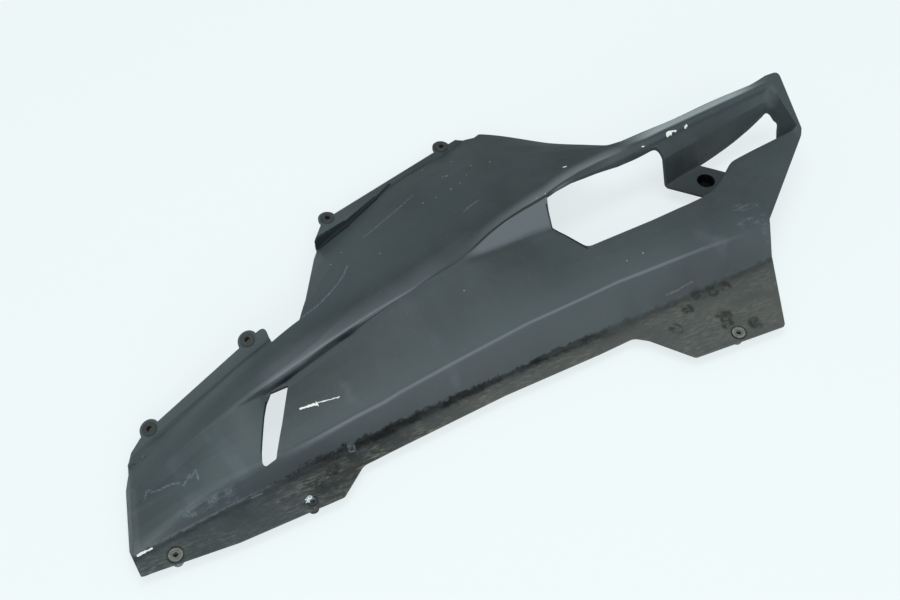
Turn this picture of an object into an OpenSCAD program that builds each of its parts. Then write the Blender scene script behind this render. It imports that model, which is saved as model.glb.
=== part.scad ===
// Side half of a motorcycle belly pan: one thin moulded skin with joggled flanges, screw ears,
// a vent slot, a large side opening, a slit, a rolled rim and a sunk screw pocket.
// Seven rubber well nuts sit in its flanges. It lies outer face up, on the well nut tails.
// X runs along the straight lower flange, Y goes up the motorcycle, Z is away from the floor.

/* [Panel] */
// Length of the moulding along its lower flange
panel_l = 798; // [760:1:850]
// Width from the lower flange to the upper ear
panel_w = 373; // [345:1:400]
// Height of the crest above the face of the lower flange
crest_h = 60; // [50:1:70]
// Wall of the moulding
wall_t = 3; // [2.4:0.1:3.6]
// Drop of the lower face below the upper face, at the vent slot
step_h = 12; // [8:0.5:14]
// Rise of the upper flange over the upper face, at its left end
joggle_h = 12; // [8:0.5:14]
// Height of the sunk pocket floor above the face of the lower flange
pocket_h = 5; // [3:0.5:8]

/* [Openings] */
// Corner radius of the large opening
opening_r = 9; // [4:0.5:12]
// Corner radius of the slit beside the rim
slit_r = 6; // [3:0.5:9]
// Corner radius at the foot of the vent slot
slot_r = 3; // [1.5:0.5:5]
// Corner radius of the outer edge of the moulding
edge_r = 6; // [3:0.5:8]

/* [Sunk screw hole] */
// Bore of the screw cup
cup_d = 18; // [15:0.5:20]
// Depth of the screw cup below the pocket floor
cup_depth = 12; // [9:0.5:13]
// Screw hole through the foot of the cup
screw_d = 6.5; // [5.5:0.1:8]

/* [Well nuts] */
// Diameter of the rubber flange
nut_flange_d = 14; // [13:0.5:17]
// Thickness of the rubber flange
nut_flange_t = 1.6; // [1.4:0.1:2.8]
// Diameter of the rubber body
nut_body_d = 10; // [9:0.1:11.5]
// Length of the rubber body below its flange
nut_body_l = 13; // [11:0.5:16]
// Hole in the rubber flange
nut_mouth_d = 5.4; // [5:0.1:6]
// Diameter of the brass insert
insert_d = 7; // [6.6:0.1:7.6]
// Length of the brass insert
insert_l = 7; // [5:0.5:9]
// Thread size of the insert
thread_d = 5; // [4:1:5]
// Radial clearance of a rubber body in its hole
nut_fit = 0.15; // [0.1:0.05:0.3]
// Width of the ear of plastic round each well nut flange
ear_w = 2.5; // [1:0.5:3]
// Depth of the spot faces of the two end nuts in the lower flange
spot_depth = 1; // [0.4:0.1:1.4]
// Space between those spot faces and the rubber flange, all round
spot_gap = 1.4; // [0.8:0.1:2]

/* [Hidden] */
// Size of the drawing that the lines below are taken from
drawn_l = 798;
drawn_w = 373;
drawn_h = 60;
kx = panel_l / drawn_l;
ky = panel_w / drawn_w;
kz = crest_h / drawn_h;
// The face of the lower flange lies this far above the floor
flange_z = nut_body_l + spot_depth;
eps = 0.02;
fine = 96;

// Lines of the form, as points [x, y, height above the lower flange], from left to right
foot_line = [[-337, -30, -4], [-312, -19, 3], [-278, -13, 16], [-242, -6, 30], [-209, 2, 40],
             [-181, 8, 47], [-150, 44, 42], [-120, 86, 18], [-89, 127, 1], [-45, 145, 4],
             [15, 171, 6], [103, 197, 0], [134, 206, 3], [186, 146, 22], [222, 107, 37],
             [240, 92, 43], [293, 92, 47], [372, 97, 49], [430, 97, 51], [450, 97, 51]];
crown_line = [[-337, -50, 4], [-270, -34, 38], [-209, -16, 53], [-150, 4, 56], [-89, 60, 46],
              [15, 100, 40], [103, 130, 38], [186, 105, 50], [222, 86, 60], [240, 82, 62],
              [293, 82, 62], [372, 89, 64], [450, 93, 65]];
step_line = [[-337, -64, 6], [-270, -52, 37], [-200, -37, 51], [-163, -28, 53], [-114, -15, 54],
             [-88, -8, 54], [-41, 2, 53], [22, 15, 54], [71, 34, 56], [120, 50, 57], [168, 56, 57],
             [217, 60, 57], [243, 63, 57], [307, 70, 58], [361, 75, 59], [409, 79, 60],
             [450, 81, 60]];
// Foot of the scoop and of the rim wall, which runs on from the step
wall_line = [[22, 13.5, 51.6], [48, 16, 48.5], [74, 19, 44.5], [123, 23, 37], [200, 34, 12],
             [262, 42, pocket_h / kz], [298, 50, pocket_h / kz], [322, 54, pocket_h / kz],
             [355, 60, 10], [385, 64, 20], [405, 64, 32], [416, 61, 38], [450, 62, 42]];
// Edge of the lower face: along the step, across the large opening and round the pocket
edge_line = [[-337, -76, 5], [-270, -62, 35], [-200, -46, 38], [-88, -16, 48], [22, 6, 50.6],
             [74, 11, 44], [123, 12, 37], [160, -4, 37], [260, -9, 37], [284, -6, 37],
             [295, -4, 37], [311, 4, 37], [321, 11, 37], [338, 21, 38], [405, 26, 43],
             [450, 30, 47]];
ridge_line = [[-337, -108, 6], [-280, -103, 29], [-217, -100, 33], [-150, -93, 32],
              [-95, -87, 32], [-42, -79, 32], [23, -72, 32], [84, -67, 32], [180, -61, 33],
              [290, -61, 35], [322, -63, 36], [450, -66, 36]];
crease_line = [[-337, -118, 0], [-280, -110, 0], [-228, -106, 0], [-154, -103, 0], [-58, -97, 0],
               [61, -89, 0], [140, -93, 0], [169, -87, 0], [239, -85, 0], [323, -83, 0],
               [450, -82, 0]];
// How much of the step is left along it, from the vent slot to its end
step_fade = [[-270, 0], [-242, 0.05], [-212, 0.6], [-200, 1], [-163, 0.95], [-114, 0.75], [-88, 0.5],
             [-41, 0.06], [22, 0.06]];
// Where the step turns into the scoop, and where the scoop has become the pocket, along x
scoop_x = [-41, 22];
pocket_x = [225, 262];
// Width of the joggle, and of the flange outside it
joggle_w = [[-337, 3], [-312, 4], [-279, 6], [-181, 7], [-130, 5], [-89, 4], [15, 2.5],
            [450, 2.5]];
flange_w = [[-337, 34], [-181, 36], [-89, 32], [105, 26], [140, 8], [450, 6]];
// Roll of the ridge between the lower face and the steep band
ridge_roll = [[-337, 24], [-280, 14], [-217, 8], [-150, 7], [450, 7]];
// Plane of each sloping flange: [height, slope along x, slope along y, x, y of that height]
left_plane = [5, 0.27, 0.14, -308, -5];
upper_plane = [(joggle_h - 1.6) / kz, -0.071, 0, -65, 154];
flange_ends = [-170, -95, 100, 130];
lower_edge_y = -172;

// Places on the drawing of the well nuts and of the screw cup, as [x, y]
left_nuts = [[-308, -5], [-197, 25]];
upper_nuts = [[-65, 155], [89, 205]];
end_nuts = [[-327, -133], [240, -147]];
worn_nut = [-202, -137];
cup_at = [318, 33];

// Outline of the moulding, as [x, y, corner radius], from the lower left corner clockwise
outline = [[-360, -139, edge_r], [-362, -110, 2], [-347, -50, 2], [-340, -38, 1], [-337, -26, 2],
           [-331, -17, 2], [-318, -8, 2], [-298, -2, 2], [-207, 22, 2], [-178, 30, edge_r],
           [-179, 7, 0.5], [-147, 18, 3], [-131, 45, 4], [-97, 114, 2], [-89, 127, 0.5],
           [-89, 131, 1], [-74, 150, 3], [-54, 159, 2], [79, 201, 2], [108, 209, 2],
           [125, 197, 1], [132, 199, 2], [180, 133, 6], [222, 84, 10], [240, 84, 8],
           [291, 87, 4], [339, 92, 4], [437, 92, edge_r], [423, 23, edge_r], [418, 16, 3],
           [326, -62, edge_r], [323, -84, 3], [286, -159, 3], [188, -153, edge_r],
           [158, -116, 12], [146, -107, 12], [107, -109, 4], [4, -111, 4], [-109, -119, 4],
           [-146, -122, 12], [-174, -144, 6], [-273, -145, 4], [-351, -139, 2]];
// Large opening, from its left corner clockwise
large_opening = [[128, 38, 4], [132, 50, 3], [144, 53, 4], [163, 56, 4], [194, 58, 4],
                 [220, 59, 4], [239, 61, 4], [271, 64, opening_r], [277, 43, 1.5],
                 [303, 16, 1], [283, -8, 1], [219, -12, 4], [144, -14, opening_r], [125, 23, 4]];
// Slit between the rim wall and the lower face
slit = [[323, 55, 1], [355, 60, 6], [385, 64.5, 6], [412, 67, slit_r], [416, 52, slit_r],
        [405, 26, 2], [343, 22, 1], [343, 33, 1]];
// Vent slot, which starts at the foot of the step
vent_slot = [[-199, -38.5, 0.5], [-182, -38.5, 0.5], [-201, -72, 4], [-213, -92, slot_r],
             [-218, -100, slot_r], [-232, -102, slot_r], [-228, -91, 2], [-213, -60, 2],
             [-206, -47, 2]];

// Value at x of a smooth line through points, which never swings past them
function slope_at(p, k, c) =
    let (d = [for (i = [0 : len(p) - 2]) (p[i + 1][c] - p[i][c]) / (p[i + 1][0] - p[i][0])])
    k == 0 ? d[0]
    : k == len(p) - 1 ? d[k - 1]
    : d[k - 1] * d[k] <= 0 ? 0
    : 2 * d[k - 1] * d[k] / (d[k - 1] + d[k]);
function span_of(p, x) = max(0, min(len(p) - 2, len([for (q = p) if (q[0] <= x) 1]) - 1));
function hermite(a, b, ma, mb, w, t) =
    a * (1 + 2 * t) * (1 - t) * (1 - t) + ma * w * t * (1 - t) * (1 - t)
    + b * t * t * (3 - 2 * t) - mb * w * t * t * (1 - t);
function along(p, x, c = 1) =
    let (k = span_of(p, x), w = p[k + 1][0] - p[k][0], t = max(0, min(1, (x - p[k][0]) / w)))
    hermite(p[k][c], p[k + 1][c], slope_at(p, k, c), slope_at(p, k + 1, c), w, t);
function on_line(p, x) = [along(p, x, 1), along(p, x, 2)];
function mix(a, b, t) = a + (b - a) * t;
function bend(a, b, c, t) = a * (1 - t) * (1 - t) + b * 2 * t * (1 - t) + c * t * t;
function plane_z(f, x, y) = f[0] + f[1] * (x - f[3]) + f[2] * (y - f[4]);
function ramp(a, b, x) = max(0, min(1, (x - a) / (b - a)));

// Height of the left and upper flanges, which run out into the face at their right ends
function flange_height(x, y, face_z) =
    let (e = flange_ends,
         both = mix(plane_z(left_plane, x, y), plane_z(upper_plane, x, y), ramp(e[0], e[1], x)))
    mix(both, face_z, ramp(e[2], e[3], x));

// One cross section of the outer face at x, as [y, z] from the upper flange down to the lower one
face_rows = 6;
lower_rows = 4;
function section(x) =
    let (foot = on_line(foot_line, x),
         crown = on_line(crown_line, x),
         step = on_line(step_line, x),
         edge_y = along(edge_line, x),
         fade = along(step_fade, x),
         scoop = ramp(scoop_x[0], scoop_x[1], x),
         pocket = ramp(pocket_x[0], pocket_x[1], x),
         top = step - [0, 0.6 * min(1, 2 * fade + scoop) + scoop],
         wall = x < scoop_x[1] ? [top[0] - 1.5, top[1] - fade * step_h / kz] : on_line(wall_line, x),
         edge_z = x < scoop_x[1] ? wall[1] - 1 : along(edge_line, x, 2),
         edge = [edge_y, edge_z],
         ridge = on_line(ridge_line, x),
         roll = along(ridge_roll, x),
         crease = on_line(crease_line, x),
         upper = ridge + roll * (edge - ridge) / norm(edge - ridge),
         lower = ridge + min(roll, 9) * (crease - ridge) / norm(crease - ridge),
         joggle_y = foot[0] + along(joggle_w, x),
         rim_y = joggle_y + along(flange_w, x))
    concat(
        [[rim_y, flange_height(sheared(x, rim_y), rim_y, foot[1])],
         [joggle_y, flange_height(sheared(x, joggle_y), joggle_y, foot[1])],
         foot],
        [for (i = [1 : face_rows - 1]) bend(foot, crown, step, i / face_rows)],
        [bend(foot, crown, step, 1 - 0.4 / face_rows) + [0, 0.4],
         top,
         mix(mix(top, wall, 0.25), top - [1.5, 4], pocket),
         [mix(top[0], wall[0], mix(0.5, 0.58, pocket)),
          mix(top[1], wall[1], mix(0.5, 0.36, pocket))],
         wall,
         mix(mix(wall, edge, 0.5), [edge[0] + 4, pocket_h / kz], pocket),
         edge],
        [for (i = [1 : lower_rows])
            mix(edge, upper, i / lower_rows)
            + [0, 1.2 * sin(180 * i / lower_rows)]],
        [bend(upper, ridge, lower, 0.33),
         bend(upper, ridge, lower, 0.67),
         lower,
         crease,
         [lower_edge_y, 0]]);

// Stations along the panel. The first one is the foot of the wall that closes the left end.
first_x = -337;
rim_end = [412, 420];
stations = concat([for (i = [0 : 1 : 24]) first_x + i * 13.5],
                  [for (i = [0 : 1 : 30]) 2 + i * 13.4], rim_end, [436, 450]);
shear_to = -296;
end_wall_w = 7;
end_wall_z = -9;
// The left end leans: its face edge moves left going down the panel
function left_x(y) = first_x - 0.27 * max(0, min(82, -36 - y)) - (y > -30 ? 5 : 0);
function sheared(x, y) =
    x >= shear_to ? x
    : left_x(y) + (x - first_x) * (shear_to - left_x(y)) / (shear_to - first_x);
// Inside face of the short wall that closes the right end of the rim
function end_rise(x, y, z) =
    x < rim_end[1] || y < 12 ? z : max(z, 44 + 0.26 * (y - 16));
face_grid = concat(
    [let (s = section(first_x))
        [for (i = [0 : len(s) - 1])
            [left_x(s[i][0]) - end_wall_w, s[i][0],
             i < 2 || i == len(s) - 1 ? s[i][1] : min(s[i][1], end_wall_z)]]],
    [for (x = stations)
        let (s = section(x))
        [for (p = s) [sheared(x, p[0]), p[0], end_rise(x, p[0], p[1])]]]);

// Real points of the outer face, and of the inner face one wall behind it
function placed(p) = [p[0] * kx, p[1] * ky, p[2] * kz + flange_z];
outer = [for (row = face_grid) [for (p = row) placed(p)]];
nu = len(outer);
nv = len(outer[0]);
function unit(v) = v / max(norm(v), 1e-9);
function cell_normal(i, j) =
    unit(cross(outer[i][j + 1] - outer[i + 1][j], outer[i + 1][j + 1] - outer[i][j]));
cells = [for (i = [0 : nu - 2]) [for (j = [0 : nv - 2]) cell_normal(i, j)]];
function near(i, j) =
    [for (a = [max(i - 1, 0) : min(i, nu - 2)])
        for (b = [max(j - 1, 0) : min(j, nv - 2)]) cells[a][b]];
function total(v, k = 0) = k == len(v) - 1 ? v[k] : v[k] + total(v, k + 1);
// The rows from the roll of the step down to its foot lie close together, so they share one
// direction there, square to the step as a whole
step_rows = [8, 13];
function across_step(i) =
    unit(cross(outer[i][step_rows[1]] - outer[i][step_rows[0]], [1, 0, 0]));
function behind(i, j) =
    let (n = near(i, j),
         own = unit(total(n)),
         shared = j >= step_rows[0] && j < step_rows[1] ? 1 - ramp(30, 90, face_grid[i][j][0]) : 0,
         m = unit(mix(own, across_step(i), shared)),
         c = total([for (q = n) q * m]) / len(n))
    outer[i][j] - m * wall_t / max(c, 0.6);
inner = [for (i = [0 : nu - 1]) [for (j = [0 : nv - 1]) behind(i, j)]];

// The whole skin, before it is trimmed, as one closed sheet with a top, a back and a rim
module sheet() {
    function top(i, j) = i * nv + j;
    function back(i, j) = nu * nv + i * nv + j;
    border = concat([for (j = [0 : nv - 2]) [0, j]],
                    [for (i = [0 : nu - 2]) [i, nv - 1]],
                    [for (j = [nv - 1 : -1 : 1]) [nu - 1, j]],
                    [for (i = [nu - 1 : -1 : 1]) [i, 0]]);
    nb = len(border);
    polyhedron(
        points = concat([for (row = outer) each row], [for (row = inner) each row]),
        faces = concat(
            [for (i = [0 : nu - 2]) for (j = [0 : nv - 2]) each [
                [top(i, j), top(i + 1, j), top(i + 1, j + 1)],
                [top(i, j), top(i + 1, j + 1), top(i, j + 1)],
                [back(i, j), back(i + 1, j + 1), back(i + 1, j)],
                [back(i, j), back(i, j + 1), back(i + 1, j + 1)]]],
            [for (k = [0 : nb - 1])
                let (a = border[k], b = border[(k + 1) % nb])
                each [
                    [top(a[0], a[1]), top(b[0], b[1]), back(b[0], b[1])],
                    [top(a[0], a[1]), back(b[0], b[1]), back(a[0], a[1])]]]));
}

// Corner points of an outline given as [x, y, radius], each corner turned into an arc
arc_steps = 4;
function arc_of(a, b, c, r) =
    let (u = unit(a - b), v = unit(c - b), half = acos(max(-1, min(1, u * v))) / 2,
         reach = min(r / tan(half), 0.45 * norm(a - b), 0.45 * norm(c - b)),
         q = reach * tan(half), mid = b + unit(u + v) * q / sin(half),
         from = b + u * reach - mid, to = b + v * reach - mid, turn = 180 - 2 * half)
    turn < 12 ? [b]
    : [for (k = [0 : arc_steps])
        mid + (from * sin(turn * (1 - k / arc_steps)) + to * sin(turn * k / arc_steps))
              / sin(turn)];
function flat(p) = [p[0] * kx, p[1] * ky];
function rounded(p) =
    let (n = len(p))
    [for (i = [0 : n - 1])
        each arc_of(flat(p[(i + n - 1) % n]), flat(p[i]), flat(p[(i + 1) % n]), p[i][2])];
// The part is centred on its length and width
frame_mid = [36.8 * kx, 27.8 * ky];

// Through cut with the shape of a rounded outline
cut_h = 200;
module through(shape) {
    translate([0, 0, -cut_h / 4]) linear_extrude(cut_h) polygon(rounded(shape));
}
module centred() {
    translate([-frame_mid[0], -frame_mid[1], 0]) children();
}

// Seat of a well nut at a place on the drawing: the outer face of its flange, and its tilt
module at_seat(place, plane, sink = 0) {
    tilt = [-plane[1] * kz / kx, -plane[2] * kz / ky, 1];
    translate([place[0] * kx, place[1] * ky,
               plane_z(plane, place[0], place[1]) * kz + flange_z])
        rotate(a = acos(unit(tilt)[2]), v = cross([0, 0, 1], tilt) + [0, 0, eps / 1000])
            translate([0, 0, -sink]) children();
}
lower_plane = [0, 0, 0, 0, 0];
module at_sound_nuts() {
    for (p = left_nuts) at_seat(p, left_plane) children();
    for (p = upper_nuts) at_seat(p, upper_plane) children();
    for (p = end_nuts) at_seat(p, lower_plane, spot_depth) children();
}

// Screw cup sunk in the pocket floor
cup_wall_t = 2;
pocket_z = pocket_h + flange_z;
module at_cup() {
    translate([cup_at[0] * kx, cup_at[1] * ky, pocket_z]) children();
}
module cup_wall() {
    at_cup() translate([0, 0, -cup_depth - wall_t])
        cylinder(d = cup_d + 2 * cup_wall_t, h = cup_depth + wall_t - eps, $fn = fine);
}
module cup_bore() {
    at_cup() translate([0, 0, -cup_depth]) cylinder(d = cup_d, h = cut_h / 4, $fn = fine);
    at_cup() translate([0, 0, -cut_h / 4]) cylinder(d = screw_d, h = cut_h / 4, $fn = fine);
}

ear_d = nut_flange_d + 2 * ear_w;
module trim() {
    through(outline);
    for (p = concat(left_nuts, upper_nuts))
        translate([p[0] * kx, p[1] * ky, -cut_h / 4]) cylinder(d = ear_d, h = cut_h, $fn = fine);
}
module nut_hole() {
    translate([0, 0, -cut_h / 8])
        cylinder(d = nut_body_d + 2 * nut_fit, h = cut_h / 4, $fn = fine);
}
module belly_pan() {
    color("#4a5356") centred() difference() {
        union() {
            intersection() {
                sheet();
                trim();
            }
            cup_wall();
        }
        through(large_opening);
        through(slit);
        through(vent_slot);
        cup_bore();
        at_sound_nuts() nut_hole();
        at_seat(worn_nut, lower_plane) nut_hole();
        for (p = end_nuts) at_seat(p, lower_plane, spot_depth)
            cylinder(d = nut_flange_d + 2 * spot_gap, h = 2 * spot_depth, $fn = fine);
    }
}

// Rubber sleeve of a well nut, standing on the face of its seat
sleeve_gap = 0.05;
lip = 0.6;
insert_rise = 0.5;
insert_top = insert_rise + insert_l - nut_body_l;
module sleeve() {
    rotate_extrude($fn = fine) polygon([
        [nut_mouth_d / 2, nut_flange_t], [nut_flange_d / 2 - lip, nut_flange_t],
        [nut_flange_d / 2, nut_flange_t - lip], [nut_flange_d / 2, eps],
        [nut_body_d / 2, eps], [nut_body_d / 2, lip - nut_body_l],
        [nut_body_d / 2 - lip, -nut_body_l], [insert_d / 2 + sleeve_gap, -nut_body_l],
        [insert_d / 2 + sleeve_gap, insert_top + sleeve_gap],
        [nut_mouth_d / 2, insert_top + sleeve_gap]]);
}
// Brass insert, with a waist that the rubber grips
thread_wall_d = thread_d - 0.8;
waist = 0.35;
module insert() {
    translate([0, 0, insert_top - insert_l]) rotate_extrude($fn = fine) polygon([
        [thread_wall_d / 2, 0], [insert_d / 2, 0], [insert_d / 2, insert_l * 0.35],
        [insert_d / 2 - waist, insert_l * 0.45], [insert_d / 2 - waist, insert_l * 0.55],
        [insert_d / 2, insert_l * 0.65], [insert_d / 2, insert_l], [thread_wall_d / 2, insert_l]]);
}
module well_nut_sleeves() {
    color("#23282a") centred() at_sound_nuts() sleeve();
}
module well_nut_inserts() {
    color("#b08d3f") centred() at_sound_nuts() insert();
}

// The worn well nut: its rubber is torn open and the collar of its insert shows
collar_d = 9.4;
collar_t = 1.1;
collar_seat = 0.8;
worn_body_l = 7;
tear_turn = 140;
module worn_well_nut_sleeve() {
    color("#2b2d2c") centred() at_seat(worn_nut, lower_plane) difference() {
        rotate_extrude($fn = fine) polygon([
            [collar_d / 2 + lip, nut_flange_t], [nut_flange_d / 2 - lip, nut_flange_t],
            [nut_flange_d / 2, nut_flange_t - lip], [nut_flange_d / 2, eps],
            [nut_body_d / 2, eps], [nut_body_d / 2, -nut_body_l],
            [insert_d / 2 + sleeve_gap, -nut_body_l],
            [insert_d / 2 + sleeve_gap, collar_seat], [collar_d / 2 + lip, collar_seat]]);
        rotate(tear_turn) translate([collar_d / 2 - lip, -nut_flange_d / 4, collar_seat])
            cube([nut_flange_d, nut_flange_d / 2, nut_flange_t]);
    }
}
module worn_well_nut_insert() {
    color("#c9ccc8") centred() at_seat(worn_nut, lower_plane)
        rotate_extrude($fn = fine) polygon([
            [thread_wall_d / 2, -worn_body_l], [insert_d / 2, -worn_body_l],
            [insert_d / 2, collar_seat + eps], [collar_d / 2, collar_seat + eps],
            [collar_d / 2, collar_seat + collar_t], [thread_wall_d / 2, collar_seat + collar_t]]);
}

belly_pan();
well_nut_sleeves();
well_nut_inserts();
worn_well_nut_sleeve();
worn_well_nut_insert();
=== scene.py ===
import math

import bmesh
import bpy
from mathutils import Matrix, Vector


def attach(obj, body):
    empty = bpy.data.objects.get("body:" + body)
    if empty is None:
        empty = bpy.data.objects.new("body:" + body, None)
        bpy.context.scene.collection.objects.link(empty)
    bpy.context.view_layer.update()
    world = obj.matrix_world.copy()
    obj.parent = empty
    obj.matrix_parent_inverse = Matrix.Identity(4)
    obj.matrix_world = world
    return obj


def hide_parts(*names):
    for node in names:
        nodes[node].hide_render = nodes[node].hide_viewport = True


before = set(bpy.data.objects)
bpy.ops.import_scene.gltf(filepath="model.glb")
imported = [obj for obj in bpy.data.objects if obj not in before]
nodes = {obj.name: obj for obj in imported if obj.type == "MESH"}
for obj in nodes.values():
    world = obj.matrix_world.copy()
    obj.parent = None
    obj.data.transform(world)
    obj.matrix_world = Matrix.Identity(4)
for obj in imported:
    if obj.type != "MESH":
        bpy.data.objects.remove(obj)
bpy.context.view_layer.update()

# Lengths in this script are in millimetres of the CAD drawing, and place() turns them into metres
MID = (36.8, 27.8)
FLANGE_Z = 14.0
WALL = 3.0
STEP_H = 12.0
POCKET_H = 5.0
# where along the panel a feature starts and where it is full
FACE_START = -337
LEAN_END = -296
SCOOP = (-41, 22)
POCKET = (225, 262)
RIM_ROLL = (135, 180)
END_WALL = (412, 420)


def place(x, y, z):
    return Vector(((x - MID[0]) / 1000, (y - MID[1]) / 1000, (z + FLANGE_Z) / 1000))


# ---- the form of the moulding, from the same guide lines as the CAD source ----
# Each line is a list of (x, y, z), or of (x, value) where only one value changes along the panel
FOOT = [(-337, -30, -4), (-312, -19, 3), (-278, -13, 16), (-242, -6, 30), (-209, 2, 40),
        (-181, 8, 47), (-150, 44, 42), (-120, 86, 18), (-89, 127, 1), (-45, 145, 4),
        (15, 171, 6), (103, 197, 0), (134, 206, 3), (186, 146, 22), (222, 107, 37),
        (240, 92, 43), (293, 92, 47), (372, 97, 49), (430, 97, 51), (450, 97, 51)]
CROWN = [(-337, -50, 4), (-270, -34, 38), (-209, -16, 53), (-150, 4, 56), (-89, 60, 46),
         (15, 100, 40), (103, 130, 38), (186, 105, 50), (222, 86, 60), (240, 82, 62),
         (293, 82, 62), (372, 89, 64), (450, 93, 65)]
STEP = [(-337, -64, 6), (-270, -52, 37), (-200, -37, 51), (-163, -28, 53), (-114, -15, 54),
        (-88, -8, 54), (-41, 2, 53), (22, 15, 54), (71, 34, 56), (120, 50, 57), (168, 56, 57),
        (217, 60, 57), (243, 63, 57), (307, 70, 58), (361, 75, 59), (409, 79, 60), (450, 81, 60)]
WALL_FOOT = [(22, 13.5, 51.6), (48, 16, 48.5), (74, 19, 44.5), (123, 23, 37), (200, 34, 12),
             (262, 42, POCKET_H), (298, 50, POCKET_H), (322, 54, POCKET_H), (355, 60, 10),
             (385, 64, 20), (405, 64, 32), (416, 61, 38), (450, 62, 42)]
EDGE = [(-337, -76, 5), (-270, -62, 35), (-200, -46, 38), (-88, -16, 48), (22, 6, 50.6),
        (74, 11, 44), (123, 12, 37), (160, -4, 37), (260, -9, 37), (284, -6, 37), (295, -4, 37),
        (311, 4, 37), (321, 11, 37), (338, 21, 38), (405, 26, 43), (450, 30, 47)]
RIDGE = [(-337, -108, 6), (-280, -103, 29), (-217, -100, 33), (-150, -93, 32), (-95, -87, 32),
         (-42, -79, 32), (23, -72, 32), (84, -67, 32), (180, -61, 33), (290, -61, 35),
         (322, -63, 36), (450, -66, 36)]
CREASE = [(-337, -118, 0), (-280, -110, 0), (-228, -106, 0), (-154, -103, 0), (-58, -97, 0),
          (61, -89, 0), (140, -93, 0), (169, -87, 0), (239, -85, 0), (323, -83, 0), (450, -82, 0)]
FADE = [(-270, 0), (-242, 0.05), (-212, 0.6), (-200, 1), (-163, 0.95), (-114, 0.75), (-88, 0.5),
        (-41, 0.06), (22, 0.06)]
JOGGLE = [(-337, 3), (-312, 4), (-279, 6), (-181, 7), (-130, 5), (-89, 4), (15, 2.5), (450, 2.5)]
FLANGE = [(-337, 34), (-181, 36), (-89, 32), (105, 26), (140, 8), (450, 6)]
ROLL = [(-337, 24), (-280, 14), (-217, 6), (-150, 4), (450, 4)]
# planes of the two upper flanges: height at a place, slope along x and y, and that place
LEFT_PLANE = (5, 0.27, 0.14, -308, -5)
UPPER_PLANE = (10.4, -0.071, 0, -65, 154)
LEFT_TO_UPPER = (-170, -95)
UPPER_TO_FACE = (100, 130)
LOWER_Y = -172
# the left end leans outward over a run of y, and its flange reaches a little further left
LEAN, LEAN_TOP, LEAN_RUN = 0.27, -36, 82
FLANGE_REACH, FLANGE_FOOT_Y = 5, -30
# run of the wall that closes the left end, and the height that it goes down to
LEFT_WALL_RUN, LEFT_WALL_LOW = 7, -9
# height of the end wall's top at one y, and its slope from there
END_TOP, END_TOP_Y, END_SLOPE = 44, 16, 0.26
# the end wall stands above this y, and the rim, above the second, rises to it earlier
END_WALL_Y = 12
RIM_Y, RIM_RISE = 86, (400, 420)
# how far the rim rolls down, and how far the step's wall leans
RIM_DROP = 2.4
WALL_LEAN = 1.5

# Corners of the trimmed shapes on the plan, as (x, y, radius)
OUTLINE = [(-360, -139, 6), (-362, -110, 2), (-347, -50, 2), (-340, -38, 1), (-337, -26, 2),
           (-331, -17, 2), (-318, -8, 2), (-298, -2, 2), (-207, 22, 2), (-178, 30, 6),
           (-179, 7, 0.5), (-147, 18, 3), (-131, 45, 4), (-97, 114, 2), (-89, 127, 0.5),
           (-89, 131, 1), (-74, 150, 3), (-54, 159, 2), (79, 201, 2), (108, 209, 2),
           (125, 197, 1), (132, 199, 2), (180, 133, 6), (222, 84, 10), (240, 84, 8),
           (291, 87, 4), (339, 92, 4), (436.7, 92, 6), (423, 23, 6), (418, 16, 3),
           (326, -62, 6), (323, -84, 3), (286, -159, 3), (188, -153, 6), (158, -116, 12),
           (146, -107, 12), (107, -109, 4), (4, -111, 4), (-109, -119, 4), (-146, -122, 12),
           (-174, -144, 6), (-273, -145, 4), (-351, -139, 2)]
OPENING = [(128, 38, 4), (132, 50, 3), (144, 53, 4), (163, 56, 4), (194, 58, 4), (220, 59, 4),
           (239, 61, 4), (271, 64, 9), (277, 43, 1.5), (303, 16, 1), (283, -8, 1), (219, -12, 4),
           (144, -14, 9), (125, 23, 4)]
SLIT = [(323, 55, 1), (355, 60, 6), (385, 64.5, 6), (412, 67, 6), (416, 52, 6), (405, 26, 2),
        (343, 22, 1), (343, 33, 1)]
SLOT = [(-199, -38.5, 0.5), (-182, -38.5, 0.5), (-201, -72, 4), (-213, -92, 3), (-218, -100, 3),
        (-232, -102, 3), (-228, -91, 2), (-213, -60, 2), (-206, -47, 2)]
LEFT_NUTS = [(-308, -5), (-197, 25)]
UPPER_NUTS = [(-65, 155), (89, 205)]
END_NUTS = [(-327, -133), (240, -147)]
WORN_NUT = (-202, -137)
CUP_AT = (318, 33)
# sizes round the fixing points
EAR_R = 9.5
NUT_HOLE_R = 5.15
SPOT_R, SPOT_TOP = 8.4, 30
CUP_HOLE_R = 10.2
# lining of the screw cup, as (radius, height)
CUP_PROFILE = [(10.25, 5.0), (9.6, 4.9), (9.15, 4.5), (9.0, 3.8), (9.0, -7), (3.25, -7), (3.25, -10), (11, -10),
               (11, 3.6), (10.25, 4.6)]
# edges that turn by more than this are shaded sharp
SHARP_ANGLE = math.radians(38)
# shortest edge that is kept, in metres
SLIVER = 4e-5


def slope_at(p, k, c):
    """Slope at a point of the line that never overshoots its points."""
    d = [(p[i + 1][c] - p[i][c]) / (p[i + 1][0] - p[i][0]) for i in range(len(p) - 1)]
    if k == 0:
        return d[0]
    if k == len(p) - 1:
        return d[k - 1]
    if d[k - 1] * d[k] <= 0:
        return 0
    return 2 * d[k - 1] * d[k] / (d[k - 1] + d[k])


# slopes of each guide line, worked out once
SLOPES = {}


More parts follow.
